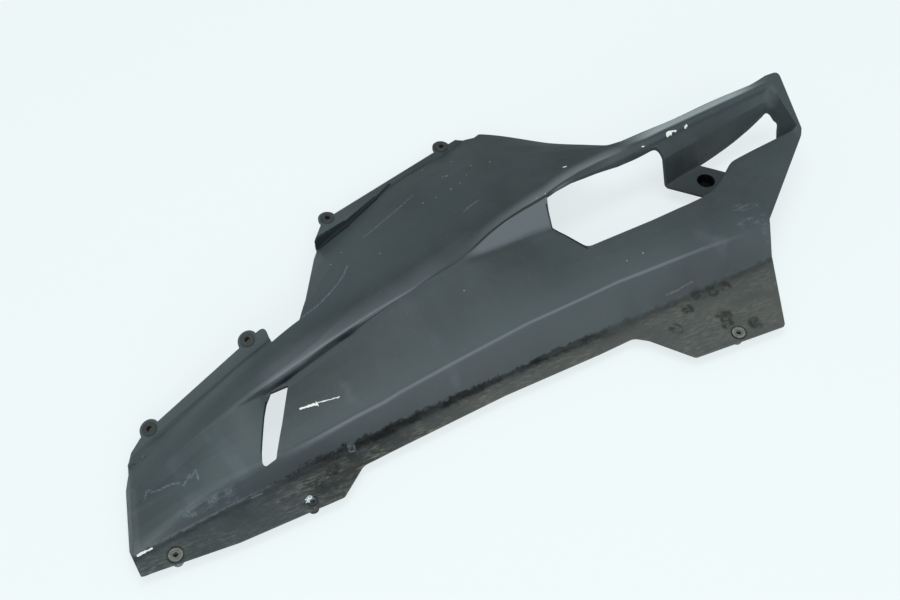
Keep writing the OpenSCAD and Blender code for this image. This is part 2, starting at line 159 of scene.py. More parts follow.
def along(p, x, c=1):
    """Smooth value of column c of a guide line at x."""
    key = (id(p), c)
    if key not in SLOPES:
        SLOPES[key] = [slope_at(p, k, c) for k in range(len(p))]
    m = SLOPES[key]
    k = max(0, min(len(p) - 2, sum(1 for q in p if q[0] <= x) - 1))
    w = p[k + 1][0] - p[k][0]
    t = max(0, min(1, (x - p[k][0]) / w))
    return (p[k][c] * (1 + 2 * t) * (1 - t) ** 2 + m[k] * w * t * (1 - t) ** 2
            + p[k + 1][c] * t * t * (3 - 2 * t) - m[k + 1] * w * t * t * (1 - t))


def on_line(p, x):
    return (along(p, x, 1), along(p, x, 2))


def mix(a, b, t):
    if isinstance(a, tuple):
        return tuple(u + (v - u) * t for u, v in zip(a, b))
    return a + (b - a) * t


def plane_z(f, x, y):
    return f[0] + f[1] * (x - f[3]) + f[2] * (y - f[4])


def ramp(a, b, x):
    return max(0, min(1, (x - a) / (b - a)))


def bend(a, b, c, t):
    """Point of the curve that leaves a toward b and ends at c."""
    return tuple(u * (1 - t) ** 2 + v * 2 * t * (1 - t) + w * t * t for u, v, w in zip(a, b, c))


def left_x(y):
    """The panel's left end."""
    lean = LEAN * max(0, min(LEAN_RUN, LEAN_TOP - y))
    return FACE_START - lean - (FLANGE_REACH if y > FLANGE_FOOT_Y else 0)


def sheared(x, y):
    """The place along the panel, leaning with the left end where that is near."""
    if x >= LEAN_END:
        return x
    return left_x(y) + (x - FACE_START) * (LEAN_END - left_x(y)) / (LEAN_END - FACE_START)


def flange_height(x, y, face_z):
    planes = mix(plane_z(LEFT_PLANE, x, y), plane_z(UPPER_PLANE, x, y), ramp(*LEFT_TO_UPPER, x))
    return mix(planes, face_z, ramp(*UPPER_TO_FACE, x))


def toward(a, b, r):
    """The point at distance r from a in the direction of b."""
    d = math.hypot(b[0] - a[0], b[1] - a[1])
    return (a[0] + (b[0] - a[0]) * r / d, a[1] + (b[1] - a[1]) * r / d)


# Rows that the crowned face and the lower face are cut into
FACE_ROWS = 6
LOWER_ROWS = 4
# Fillets along the rows of the cross section
JOGGLE_R, FOOT_R, FACE_R, TURN_R, LIP_R = 1.6, 2.2, 9, 12, 1.2
WALL_R, POCKET_R, EDGE_R, CREASE_R = 3.0, 2.5, 1.6, 3.5
# how far the roll over the ridge reaches down at most, and how far the lower face swells out
RIDGE_REACH = 9
FACE_SWELL = 1.2


def section(x):
    """The cross section at x, from the rim down to the floor, as rows of ((y, z), fillet)."""
    foot, crown, step = on_line(FOOT, x), on_line(CROWN, x), on_line(STEP, x)
    edge_y = along(EDGE, x)
    fade = along(FADE, x)
    scoop = ramp(*SCOOP, x)
    pocket = ramp(*POCKET, x)
    before_scoop = x < SCOOP[1]
    top = (step[0], step[1] - 0.6 * min(1, 2 * fade + scoop) - scoop)
    wall = (top[0] - WALL_LEAN, top[1] - fade * STEP_H) if before_scoop else on_line(WALL_FOOT, x)
    edge = (edge_y, wall[1] - 1 if before_scoop else along(EDGE, x, 2))
    ridge = on_line(RIDGE, x)
    crease = on_line(CREASE, x)
    roll = along(ROLL, x)
    upper, lower = toward(ridge, edge, roll), toward(ridge, crease, min(roll, RIDGE_REACH))
    joggle_y = foot[0] + along(JOGGLE, x)
    rim_y = joggle_y + along(FLANGE, x)
    rolled_rim = RIM_DROP * ramp(*RIM_ROLL, x)
    rows = [((rim_y, flange_height(sheared(x, rim_y), rim_y, foot[1]) - rolled_rim), 0),
            ((joggle_y, flange_height(sheared(x, joggle_y), joggle_y, foot[1])), JOGGLE_R),
            (foot, FOOT_R)]
    for i in range(1, FACE_ROWS):
        rows.append((bend(foot, crown, step, i / FACE_ROWS), FACE_R))
    # the moulding rolls over softly into the step, and more so into the scoop
    soft = ramp(-190, -120, x) * ramp(300, 230, x)
    low = bend(foot, crown, step, 1 - mix(0.4, 0.85, soft) / FACE_ROWS)
    rows += [((low[0], low[1] + 0.4), TURN_R), (top, LIP_R)]
    # the step's wall, which becomes the pocket's wall and floor further right
    a, b = mix(top, wall, 0.25), (top[0] - WALL_LEAN, top[1] - 4)
    rows.append((mix(a, b, pocket), WALL_R))
    rows.append(((mix(top[0], wall[0], mix(0.5, 0.58, pocket)),
                  mix(top[1], wall[1], mix(0.5, 0.36, pocket))), WALL_R))
    rows.append((wall, mix(LIP_R, WALL_R, ramp(SCOOP[1], 100, x))))
    rows.append((mix(mix(wall, edge, 0.5), (edge[0] + 4, POCKET_H), pocket), POCKET_R))
    rows.append((edge, EDGE_R))
    for i in range(1, LOWER_ROWS + 1):
        p = mix(edge, upper, i / LOWER_ROWS)
        rows.append(((p[0], p[1] + FACE_SWELL * math.sin(math.pi * i / LOWER_ROWS)), FACE_R))
    rows += [(bend(upper, ridge, lower, 0.33), FACE_R), (bend(upper, ridge, lower, 0.67), FACE_R),
             (lower, FACE_R), (crease, CREASE_R), ((LOWER_Y, 0), 0)]
    return rows


# Points put between each row and the next, and steps on each fillet
BETWEEN = [3, 2, 1, 1, 1, 1, 1, 1, 1, 1, 1, 1, 2, 2, 2, 1, 1, 1, 1, 1, 1, 2, 5]
ARC = 3
# shortest reach of a fillet, and its longest as a share of the side next to it
REACH_LEAST, REACH_MOST = 0.4, 0.42


def filleted(rows):
    """The cross section with its fillets, cut finely enough for the skin."""
    pts = [p for p, r in rows]
    ring = [(pts[0],)]
    for k in range(1, len(rows) - 1):
        a, b, c = pts[k - 1], pts[k], pts[k + 1]
        la, lc = math.dist(a, b), math.dist(b, c)
        u = ((a[0] - b[0]) / la, (a[1] - b[1]) / la)
        v = ((c[0] - b[0]) / lc, (c[1] - b[1]) / lc)
        cosine = max(-1, min(1, u[0] * v[0] + u[1] * v[1]))
        half = math.acos(cosine) / 2
        reach = max(rows[k][1] / max(math.tan(half), 1e-3), REACH_LEAST)
        reach = min(reach, REACH_MOST * la, REACH_MOST * lc)
        p = (b[0] + u[0] * reach, b[1] + u[1] * reach)
        q = (b[0] + v[0] * reach, b[1] + v[1] * reach)
        ring.append(tuple(bend(p, b, q, i / ARC) for i in range(ARC + 1)))
    ring.append((pts[-1],))
    out = []
    for k, part in enumerate(ring):
        out.extend(part)
        if k < len(ring) - 1:
            for i in range(1, BETWEEN[k] + 1):
                out.append(mix(part[-1], ring[k + 1][0], i / (BETWEEN[k] + 1)))
    return out


# Places of the columns along the panel: two even runs, then closer round the end wall
COLUMNS = [FACE_START + 2.7 * i for i in range(121)] + [-13 + 3.35 * (i + 1) for i in range(126)]
COLUMNS += [END_WALL[0], 415, 417.5, END_WALL[1], 425, 436, 450]


def left_wall():
    """Columns of the short wall that closes the left end."""
    first = filleted(section(FACE_START))
    last = len(first) - 1
    wall_foot = []
    for i, (y, z) in enumerate(first):
        # the flange and the last row stay at their own height
        low = z if i < 4 or i == last else min(z, LEFT_WALL_LOW)
        wall_foot.append((left_x(y) - LEFT_WALL_RUN, y, low))
    face = [(left_x(y), y, z) for y, z in first]
    columns = [wall_foot]
    for t in (0.3, 0.6, 0.8, 0.92):
        lift = FACE_SWELL * math.sin(math.pi * t) * (t if t > 0.5 else 0)
        columns.append([tuple(mix(a, b, t)[:2]) + (mix(a[2], b[2], t) + (lift if b[2] - a[2] > 3 else 0),)
                        for a, b in zip(wall_foot, face)])
    return columns


def outer_grid():
    columns = left_wall()
    for x in COLUMNS:
        column = []
        for y, z in filleted(section(x)):
            if y >= END_WALL_Y:
                high = max(z, END_TOP + END_SLOPE * (y - END_TOP_Y))
                z = mix(z, high, ramp(*RIM_RISE, x) ** 1.5 if y > RIM_Y else ramp(*END_WALL, x))
            column.append((sheared(x, y), y, z))
        columns.append(column)
    return columns


# corners that turn by less than this stay as they are, and long edges are cut this often
STRAIGHT = math.radians(4)
CUT_EVERY = 4


def rounded(shape, steps=5):
    """The corners of a shape on the plan with their radii, as points not far apart."""
    out = []
    n = len(shape)
    for i in range(n):
        a, b, c = (Vector(shape[(i + k) % n][:2]) for k in (-1, 0, 1))
        r = shape[i][2]
        u, v = (a - b), (c - b)
        la, lc = u.length, v.length
        u.normalize()
        v.normalize()
        half = math.acos(max(-1, min(1, u.dot(v)))) / 2
        if math.pi - 2 * half < STRAIGHT:
            out.append(b)
            continue
        reach = min(r / math.tan(half), 0.45 * la, 0.45 * lc)
        p, q = b + u * reach, b + v * reach
        for k in range(steps + 1):
            t = k / steps
            out.append(p * (1 - t) ** 2 + b * 2 * t * (1 - t) + q * t * t)
    # so that the rim follows the surface
    fine = []
    for i, p in enumerate(out):
        q = out[(i + 1) % len(out)]
        n_cut = max(1, int((q - p).length / CUT_EVERY))
        fine += [p + (q - p) * k / n_cut for k in range(n_cut)]
    return fine


def circle(at, r, n=48):
    return [Vector((at[0] + r * math.cos(2 * math.pi * k / n),
                    at[1] + r * math.sin(2 * math.pi * k / n))) for k in range(n)]


# The inner face follows the outer one's direction averaged over this many points, so that it never folds
SPREAD = 5


def sheet_mesh():
    """The whole skin before it is trimmed: the outer face, the same face one wall behind it, and a rim."""
    columns = outer_grid()
    nu, nv = len(columns), len(columns[0])
    at = [[Vector(p) for p in col] for col in columns]
    own = []
    for i in range(nu):
        row = []
        for j in range(nv):
            i0, i1, j0, j1 = max(i - 1, 0), min(i + 1, nu - 1), max(j - 2, 0), min(j + 2, nv - 1)
            row.append((at[i][j0] - at[i][j1]).cross(at[i0][j] - at[i1][j]).normalized())
        own.append(row)
    top = [p for col in at for p in col]
    back = []
    for i in range(nu):
        for j in range(nv):
            span = own[i][max(j - SPREAD, 0):j + SPREAD + 1]
            m = sum(span, Vector((0, 0, 0))).normalized()
            back.append(at[i][j] - m * WALL / max(m.dot(own[i][j]), 0.6))
    n = nu * nv
    faces = []
    for i in range(nu - 1):
        for j in range(nv - 1):
            a, b = i * nv + j, (i + 1) * nv + j
            faces += [(a, a + 1, b + 1), (a, b + 1, b)]
            faces += [(n + a, n + b + 1, n + a + 1), (n + a, n + b, n + b + 1)]
    border = [j for j in range(nv - 1)] + [i * nv + nv - 1 for i in range(nu - 1)]
    border += [(nu - 1) * nv + j for j in range(nv - 1, 0, -1)] + [i * nv for i in range(nu - 1, 0, -1)]
    for k, a in enumerate(border):
        b = border[(k + 1) % len(border)]
        faces.append((b, a, n + a, n + b))
    return top + back, faces


def prism(ring, low=-60.0, high=120.0):
    """Points and faces of a shape on the plan, drawn out from low to high."""
    n = len(ring)
    points = [(p.x, p.y, low) for p in ring] + [(p.x, p.y, high) for p in ring]
    area2 = sum(ring[i].x * ring[(i + 1) % n].y - ring[(i + 1) % n].x * ring[i].y for i in range(n))
    faces = [(i, (i + 1) % n, n + (i + 1) % n, n + i) for i in range(n)]
    faces += [tuple(reversed(range(n))), tuple(range(n, 2 * n))]
    if area2 < 0:
        faces = [tuple(reversed(f)) for f in faces]
    return points, faces


def joined(parts):
    points, faces = [], []
    for ps, fs in parts:
        base = len(points)
        points += ps
        faces += [tuple(k + base for k in f) for f in fs]
    return points, faces


def cut(obj, other, operation):
    """Applies a boolean of obj with other, which is used up."""
    mod = obj.modifiers.new("cut", "BOOLEAN")
    mod.operation = operation
    mod.solver = "MANIFOLD"
    mod.object = other
    bpy.context.view_layer.update()
    dg = bpy.context.evaluated_depsgraph_get()
    made = bpy.data.meshes.new_from_object(obj.evaluated_get(dg))
    obj.modifiers.clear()
    old = obj.data
    obj.data = made
    bpy.data.meshes.remove(old)
    bpy.data.objects.remove(other)


def make(name, points, faces):
    mesh = bpy.data.meshes.new(name)
    mesh.from_pydata([tuple(place(*p)) for p in points], [], faces)
    mesh.validate()
    mesh.update()
    obj = bpy.data.objects.new(name, mesh)
    bpy.context.scene.collection.objects.link(obj)
    return obj


def smooth(obj):
    for poly in obj.data.polygons:
        poly.use_smooth = True
    obj.data.set_sharp_from_angle(angle=SHARP_ANGLE)


def lathe(profile, at, steps=64):
    """Points and faces of a closed profile [(radius, height)] turned about an upright line."""
    points, faces = [], []
    n = len(profile)
    for i in range(steps):
        a = 2 * math.pi * i / steps
        for r, h in profile:
            points.append((at[0] + r * math.cos(a), at[1] + r * math.sin(a), h))
    for i in range(steps):
        for j in range(n):
            a, b = i * n + j, ((i + 1) % steps) * n + j
            c, d = ((i + 1) % steps) * n + (j + 1) % n, i * n + (j + 1) % n
            faces.append((a, b, c, d))
    return points, faces


# ---- materials: each colour and mark is worked out from the place on the part, in drawing mm ----
# part of the plan that the curves of Nodes.off cover, as (start, size)
CHART_X = (-360.0, 820.0)
CHART_Y = (-180.0, 400.0)


class Nodes:
    """A material's node tree. Its colour so far is kept in color, and paint() lays the next tint over it."""

    def __init__(self, name, color=None):
        self.mat = bpy.data.materials.new(name)
        self.mat.use_nodes = True
        self.tree = self.mat.node_tree
        self.shader = self.tree.nodes["Principled BSDF"]
        self.color = color
        coord = self.add("ShaderNodeTexCoord").outputs["Object"]
        mm = self.vector("MULTIPLY", coord, (1000, 1000, 1000))
        self.p = self.vector("ADD", mm, (MID[0], MID[1], -FLANGE_Z))
        self.x, self.y, self.z = self.split(self.p)

    def add(self, kind, **values):
        node = self.tree.nodes.new(kind)
        for k, v in values.items():
            setattr(node, k, v)
        return node

    def give(self, socket, value):
        if isinstance(value, bpy.types.NodeSocket):
            self.tree.links.new(value, socket)
        else:
            socket.default_value = value

    def math(self, op, a, b=0.0, clamp=False):
        node = self.add("ShaderNodeMath", operation=op, use_clamp=clamp)
        self.give(node.inputs[0], a)
        self.give(node.inputs[1], b)
        return node.outputs[0]

    def vector(self, op, a, b):
        node = self.add("ShaderNodeVectorMath", operation=op)
        self.give(node.inputs[0], a)
        self.give(node.inputs[1], b)
        return node.outputs[1 if op in ("DOT_PRODUCT", "DISTANCE") else 0]

    def split(self, v):
        node = self.add("ShaderNodeSeparateXYZ")
        self.give(node.inputs[0], v)
        return node.outputs[0], node.outputs[1], node.outputs[2]

    def plan(self, x, y):
        """The place x, y on the plan, as one vector."""
        node = self.add("ShaderNodeCombineXYZ")
        self.give(node.inputs[0], x)
        self.give(node.inputs[1], y)
        return node.outputs[0]

    def ramp(self, value, a, b, lo=0.0, hi=1.0):
        """From lo where the value is a, or beyond it, to hi where it is b."""
        node = self.add("ShaderNodeMapRange", interpolation_type="SMOOTHSTEP")
        for k, v in enumerate((value, a, b, lo, hi)):
            self.give(node.inputs[k], v)
        return node.outputs[0]

    def noise(self, scale, detail=4.0, rough=0.55, stretch=(1, 1, 1), shift=0.0):
        node = self.add("ShaderNodeTexNoise")
        place_at = self.vector("MULTIPLY", self.p, stretch)
        if shift:
            place_at = self.vector("ADD", place_at, (shift, shift * 0.7, 0))
        self.give(node.inputs["Vector"], place_at)
        self.give(node.inputs["Scale"], scale)
        self.give(node.inputs["Detail"], detail)
        self.give(node.inputs["Roughness"], rough)
        return node.outputs[0]

    def swing(self, value, size):
        """A value from 0 to 1, made to swing about nothing."""
        return self.math("MULTIPLY", self.math("SUBTRACT", value, 0.5), size)

    def off(self, points):
        """How far past a line, given by points on the plan, the place lies in the direction of +y."""
        left, width = CHART_X
        low, height = CHART_Y
        node = self.add("ShaderNodeFloatCurve")
        run = self.math("DIVIDE", self.math("SUBTRACT", self.x, left), width)
        self.give(node.inputs["Value"], run)
        curve = node.mapping.curves[0]
        at = [((x - left) / width, (y - low) / height) for x, y in points]
        curve.points[0].location, curve.points[1].location = at[0], at[-1]
        for spot in at[1:-1]:
            curve.points.new(*spot)
        for spot in curve.points:
            spot.handle_type = "VECTOR"
        node.mapping.update()
        line_y = self.math("ADD", self.math("MULTIPLY", node.outputs[0], height), low)
        return self.math("SUBTRACT", self.y, line_y)

    def both(self, *values):
        out = values[0]
        for v in values[1:]:
            out = self.math("MULTIPLY", out, v)
        return out

    def most(self, *values):
        out = values[0]
        for v in values[1:]:
            out = self.math("MAXIMUM", out, v)
        return out

    def blend(self, a, b, t):
        node = self.add("ShaderNodeMix", data_type="RGBA")
        self.give(node.inputs[0], t)
        self.give(node.inputs[6], a)
        self.give(node.inputs[7], b)
        return node.outputs[2]

    def paint(self, tint, *amounts):
        """Lays a tint over the colour so far, as strongly as all the amounts together say."""
        self.color = self.blend(self.color, tint, self.both(*amounts))

    def bump(self, height, strength, distance):
        node = self.add("ShaderNodeBump")
        self.give(node.inputs["Strength"], strength)
        self.give(node.inputs["Distance"], distance)
        self.give(node.inputs["Height"], height)
        return node.outputs[0]

    def finish(self, rough, normal, metal=0.0, spec=0.5):
        s = self.shader.inputs
        self.give(s["Base Color"], self.color)
        self.give(s["Roughness"], rough)
        self.give(s["Normal"], normal)
        self.give(s["Metallic"], metal)
        self.give(s["Specular IOR Level"], spec)
        return self.mat


def grey(v, tint=(1, 1, 1)):
    return (v * tint[0], v * tint[1], v * tint[2], 1)


CYAN = (0.84, 1.02, 1.08)
LILAC = (0.95, 0.99, 1.08)
PALE_GREY = (0.95, 1.0, 1.01)
BLACK = grey(0.004)

# Marks on the moulding, as (half width, points) in drawing mm
WHITE = [
    (1.5, [(-180.8, -65.4), (-166.1, -67.2)]), (0.55, [(-173.5, -65.3), (-144.7, -68.5)]),
    (0.6, [(-165.4, -65.0), (-165.3, -69.3)]), (1.7, [(-356.2, -119.4), (-349.7, -118.6)]),
    (1.1, [(-350.7, -118.7), (-343.3, -118.1)]), (2.4, [(283.8, 68.4), (288.2, 69.0)]),
    (0.9, [(290.1, 69.4), (295.0, 69.1)]), (0.9, [(306.6, 70.1), (309.2, 70.3)]),
    (0.8, [(251.7, 64.6), (253.7, 64.8)]), (0.8, [(166.8, 78.7), (169.9, 78.4)])]
PALE = [
    (0.4, [(51.7, 74.5), (60.9, 79.1), (72.5, 82.0)]),
    (0.4, [(22.5, 135.6), (2.8, 124.8), (-14.3, 117.5), (-31.8, 109.5), (-44.8, 105.0)]),
    (0.35, [(-77.5, 69.5), (-87.1, 57.2), (-98.3, 47.6), (-116.6, 34.2), (-130.1, 26.8), (-143.6, 20.1)]),
    (0.6, [(-334.8, -77.2), (-330.4, -70.3), (-327.5, -70.8)]), (0.45, [(-327.0, -73.9), (-318.3, -77.6)]),
    (0.5, [(-318.1, -77.0), (-308.9, -78.7), (-302.7, -82.2)]),
    (0.5, [(-299.8, -86.3), (-291.8, -80.8), (-291.6, -84.0)]),
    (0.6, [(-289.4, -82.5), (-285.6, -80.3), (-286.1, -89.0)]), (0.4, [(-284.6, -106.1), (-277.3, -105.9)]),
    (0.4, [(-268.4, -105.3), (-264.2, -105.2)]), (0.4, [(-308.1, -108.4), (-298.7, -109.0)]),
    (0.5, [(-248.6, -110.0), (-239.4, -109.4)]), (0.4, [(-151.7, -101.4), (-152.0, -104.7), (-147.9, -105.5)]),
    (0.4, [(-151.2, -101.4), (-146.5, -101.7), (-147.1, -104.8)])]
SCUFFS = [
    (4.0, [(303, -36), (322, -41)]), (4.0, [(297, -54), (323, -57)]), (3.0, [(318, -62), (321, -70)]),
    (1.0, [(-312, -107), (-262, -106)])]
SMEAR = [
    (1.0, [(-40.8, -47.6), (-40.4, -70.2), (-36.2, -86.9)]),
    (1.0, [(-134.6, -54.3), (-135.9, -66.1), (-136.8, -79.3)]),
    (4.0, [(252.7, -48.3), (268.9, -65.3)]), (6.0, [(-300, -60), (-296, -100)]), (5.0, [(-262, -52), (-250, -98)])]
BROWN = [(0.4, [(197.4, -80.9), (213, -80.5), (229.3, -78.8)])]
# round marks, as (x, y, radius)
SPECKS = [
    (66.2, 144.5, 0.9), (63.2, 146.3, 0.6), (59.0, 118.6, 0.8), (53.8, 177.5, 0.6), (84.4, 168.5, 0.6),
    (94.9, 144.7, 0.6), (113.0, 136.7, 0.6), (83.2, 131.3, 0.5), (70.5, 122.0, 0.5), (25.8, 115.7, 0.6),
    (40.8, 115.3, 0.5), (-43.7, 67.0, 0.6), (-73.3, 97.1, 0.5), (-89.2, 85.9, 0.5), (131.4, 52.3, 0.9),
    (120.7, 51.0, 0.7), (6.9, -16.2, 0.6), (189.8, -43.3, 0.6), (171.0, -44.4, 0.5)]
# dark patches on the lower flange, as (x, y, radius); the first two lie next to the worn nut
DARK_PATCHES = [
    (-190, -127, 9), (-181, -131, 6), (230, -90, 9), (245, -92, 9), (260, -93, 7), (210.8, -101.3, 7),
    (187.7, -116.6, 8), (238.4, -123.8, 11), (236, -133, 8), (261.7, -144.2, 9), (-262, -118, 10),
    (-235, -112, 9), (-175, -112, 12), (-150, -108, 9)]
# lines on the plan that light, shade and dirt keep to, each a list of (x, y)
STEP_EDGE = [
    (-360, -66), (-200, -37.5), (-163, -28.5), (-132, -19.8), (-110, -14), (-86, -8.3), (-63, -3.2), (-39, 1.8),
    (-5, 12.3), (19, 17.1), (35, 22.1), (58, 31.9), (77, 38.1), (103, 44.5), (132, 50.5), (151, 57), (177, 63),
    (202, 65.5), (226, 66), (460, 81)]
SCOOP_FOOT = [(-360, 10), (20, 16), (45, 15.4), (79, 19.5), (104, 23), (123, 24), (460, 24)]
RIDGE_EDGE = [
    (-360, -112), (-215, -100.6), (-190, -97.9), (-161, -94.1), (-136, -90.8), (-109, -88.1), (-92, -85.1),
    (-37, -77.5), (5.5, -72.5), (49, -67.7), (106, -64.4), (153, -61.6), (193, -61.8), (245, -62.2),
    (291, -63.8), (460, -66)]
CREASE_EDGE = [
    (-360, -120), (-337, -117.5), (-270, -110.8), (-190, -103.9), (-88, -97.6), (-34, -94.3), (0, -92),
    (32, -90.5), (61, -88.6), (100, -89), (131, -89.5), (169, -87.5), (240, -85.5), (323, -83.5), (460, -82)]
SHADE_FOOT = [
    (-360, -80), (-198, -37), (-182, -35), (-167, -30), (-154, -26), (-141, -22.5), (-128, -19), (460, 60)]
# painted pale bands of sheen, painted deep shade, painted dark lines of shade along the slot's and the opening's
# edges, and dark lines along creases, as (half width, points)
RIM_BAND = [(5.0, [(236, 77.5), (260, 77.5), (282, 80), (307, 82), (333, 84), (359, 86), (384, 87.5), (424, 91)])]
LEFT_BAND = [(4.0, [(-343, -62), (-352, -98), (-357, -114)])]
CUP = [(15.0, [(CUP_AT[0] - 0.1, CUP_AT[1]), (CUP_AT[0] + 0.1, CUP_AT[1])])]
WEDGE = [
    (6.0, [(-86, 131), (-70, 136), (-50, 142)]), (4.0, [(-50, 142), (-29, 152), (-8, 162)]),
    (1.5, [(-8, 162), (14, 175)])]
EDGES = [
    (0.7, [(-206, -47), (-213, -60), (-228, -91), (-229.5, -96)]), (0.7, [(128, 43), (124.5, 23), (143, -15)])]
GROOVES = [
    (0.9, [(-341, -33), (-312, -19), (-278, -13), (-242, -6), (-209, 2), (-181, 8)]),
    (0.8, [(-341, -38), (-346, -60), (-357, -105), (-359, -118)]),
    (0.8, [(-89, 127), (-45, 145), (15, 171), (60, 186)])]
# share of a stroke's half width that is drawn solid
SOLID = 0.6


def strokes(n, lines, flat, soft):
    """1 inside any of the strokes, falling to 0 over the soft width outside."""
    nearest = None
    for width, points in lines:
        for a, b in zip(points, points[1:]):
            run = (b[0] - a[0], b[1] - a[1])
            size = run[0] ** 2 + run[1] ** 2
            off = n.vector("SUBTRACT", flat, (a[0], a[1], 0))
            t = n.vector("DOT_PRODUCT", off, (run[0] / size, run[1] / size, 0))
            t = n.math("MAXIMUM", n.math("MINIMUM", t, 1.0), 0.0)
            on = n.add("ShaderNodeVectorMath", operation="SCALE")
            on.inputs[0].default_value = (run[0], run[1], 0)
            n.give(on.inputs[3], t)
            far = n.math("SUBTRACT", n.vector("DISTANCE", off, on.outputs[0]), width * SOLID)
            nearest = far if nearest is None else n.math("MINIMUM", nearest, far)
    return n.ramp(nearest, soft, 0.0)


def dots(points):
    """Round marks as very short strokes."""
    return [(r, [(x - 0.1, y), (x + 0.1, y)]) for x, y, r in points]


def plain_plastic(n, broad, cloud):
    """Charcoal plastic, unevenly faded and finely rubbed."""
    n.color = n.blend(grey(0.03, CYAN), grey(0.047, CYAN), n.ramp(broad, 0.35, 0.65))
    n.paint(grey(0.048, (0.95, 1.0, 1.08)), n.ramp(cloud, 0.45, 0.75), 0.6)
    n.paint(grey(0.07, CYAN), n.ramp(n.noise(0.9, 3, 0.6), 0.5, 0.78), 0.35)
    rubs = n.noise(0.35, 4, 0.7, stretch=(0.25, 1.0, 0.4), shift=11)
    n.paint(grey(0.075, CYAN), n.ramp(rubs, 0.6, 0.78), 0.25)


def dirty_flange(n, flat):
    """Dirt and dark patches on the lower flange, and the dark lines. Gives how far below the crease the place is,
    how dirty it is, how dark its line is and how streaky the dirt is."""
    below = n.math("SUBTRACT", n.swing(n.noise(0.12, 5, 0.75, shift=61), 9.0), n.off(CREASE_EDGE))
    flange = n.ramp(below, -1.5, 1.5)
    lower = n.ramp(below, 1.0, 16.0, 0.25, 1.0)
    blotch = n.math("MULTIPLY", n.ramp(n.noise(0.045, 6, 0.7, stretch=(0.6, 1.2, 1)), 0.32, 0.68), 0.5)
    streak = n.ramp(n.noise(0.3, 5, 0.75, stretch=(0.35, 1.4, 1), shift=21), 0.42, 0.66)
    pale_dirt = n.ramp(n.noise(0.028, 4, 0.6, stretch=(0.7, 1.3, 1), shift=53), 0.36, 0.6)
    dirt = n.both(flange, n.math("ADD", 0.45, blotch))
    dirt_color = n.blend((0.03, 0.029, 0.026, 1), (0.2, 0.185, 0.155, 1), n.both(streak, pale_dirt, lower))
    dirt_color = n.blend(dirt_color, (0.13, 0.125, 0.11, 1), n.both(n.ramp(n.x, -130.0, -20.0), lower, 0.6))
    n.paint(dirt_color, dirt)
    n.paint((0.17, 0.155, 0.13, 1), n.ramp(n.noise(0.7, 2, 0.5, shift=31), 0.66, 0.74), flange, 0.6)
    dark_line = n.both(n.ramp(below, -2.0, -0.5), n.ramp(below, 8.0, 2.0), n.math("ADD", 0.5, blotch),
                       n.ramp(n.x, 150.0, 95.0, 0.25, 1.0))
    n.paint(grey(0.008), dark_line)
    n.paint(grey(0.006), strokes(n, GROOVES, flat, 1.2), 0.75)
    uneven = n.ramp(n.noise(0.1, 5, 0.7, shift=37), 0.4, 0.56)
    n.paint((0.012, 0.012, 0.011, 1), strokes(n, dots(DARK_PATCHES), flat, 4.0), uneven, 0.8)
    return below, dirt, dark_line, streak


def edge_light(n, still, below):
    """Light and shade along the moulding's edges, where the lamps leave them too weak. Gives the shade."""
    above = n.off(STEP_EDGE)
    n.paint(grey(0.08, CYAN), n.ramp(above, 8.0, 50.0), n.ramp(n.x, 30.0, -60.0), 0.5)
    n.paint(grey(0.08, CYAN), n.ramp(n.x, -170.0, -240.0), 0.4)
    # above the step, and above the scoop
    left_part = n.both(n.ramp(n.x, -220.0, -185.0), n.ramp(above, -0.5, 0.4))
    n.paint(grey(0.11, LILAC), left_part, n.ramp(n.x, 50.0, -40.0), n.ramp(above, 27.0, 2.0), 0.6)
    n.paint(grey(0.22, LILAC), left_part, n.ramp(n.x, -5.0, -70.0), n.ramp(above, 4.0, 0.6), 0.42)
    over_scoop = n.both(n.ramp(n.x, 10.0, 60.0), n.ramp(n.x, 250.0, 210.0), n.ramp(above, 0.5, 2.0))
    n.paint(grey(0.15, PALE_GREY), over_scoop, n.ramp(above, 15.0, 3.0), n.ramp(n.x, 40.0, 160.0, 0.35, 0.95))
    near_step = n.ramp(n.math("ABSOLUTE", above), 1.3, 0.5)
    n.paint(BLACK, near_step, n.ramp(n.x, 20.0, 50.0), n.ramp(n.x, 142.0, 132.0), 0.85)
    # the scoop's own face
    n.paint(grey(0.125, LILAC), n.ramp(above, -0.8, -1.8), n.ramp(n.off(SCOOP_FOOT), -4.0, 4.0),
            n.ramp(n.x, 12.0, 45.0), n.ramp(n.x, 170.0, 150.0), n.ramp(n.z, 20.0, 30.0), 0.85)
    # above the ridge, between ridge and crease, and the ridge's bright line
    past_ridge = n.off(RIDGE_EDGE)
    middle = n.both(n.ramp(n.x, -235.0, -150.0), n.ramp(n.x, 330.0, 180.0))
    n.paint(grey(0.08, CYAN), middle, n.ramp(past_ridge, 32.0, 3.0), n.ramp(past_ridge, -2.0, 0.0), 0.35)
    n.paint(grey(0.075, LILAC), n.ramp(past_ridge, 0.5, -2.0), n.ramp(below, 0.0, -2.0),
            n.ramp(n.x, 120.0, -60.0, 0.3, 0.6))
    n.paint(grey(0.19, LILAC), middle, n.ramp(n.math("ABSOLUTE", past_ridge), 2.0, 0.2), 0.5)
    n.paint(grey(0.42, PALE_GREY), strokes(n, RIM_BAND, still, 4.0), n.ramp(n.x, 225.0, 285.0),
            n.ramp(n.x, 424.0, 370.0), 0.8)
    n.paint(grey(0.1, PALE_GREY), strokes(n, LEFT_BAND, still, 4.0), 0.4)
    under_step = n.both(n.ramp(above, -0.2, -1.0), n.ramp(n.off(SHADE_FOOT), -1.0, 1.0),
                        n.ramp(n.x, -207.0, -202.0), n.ramp(n.x, -95.0, -125.0), 0.9)
    shade = n.most(n.both(strokes(n, WEDGE, still, 1.2), 0.75), strokes(n, CUP, still, 0.8), under_step,
                   n.both(strokes(n, EDGES, still, 1.0), 0.85))
    n.paint(BLACK, shade, 0.9)
    return shade


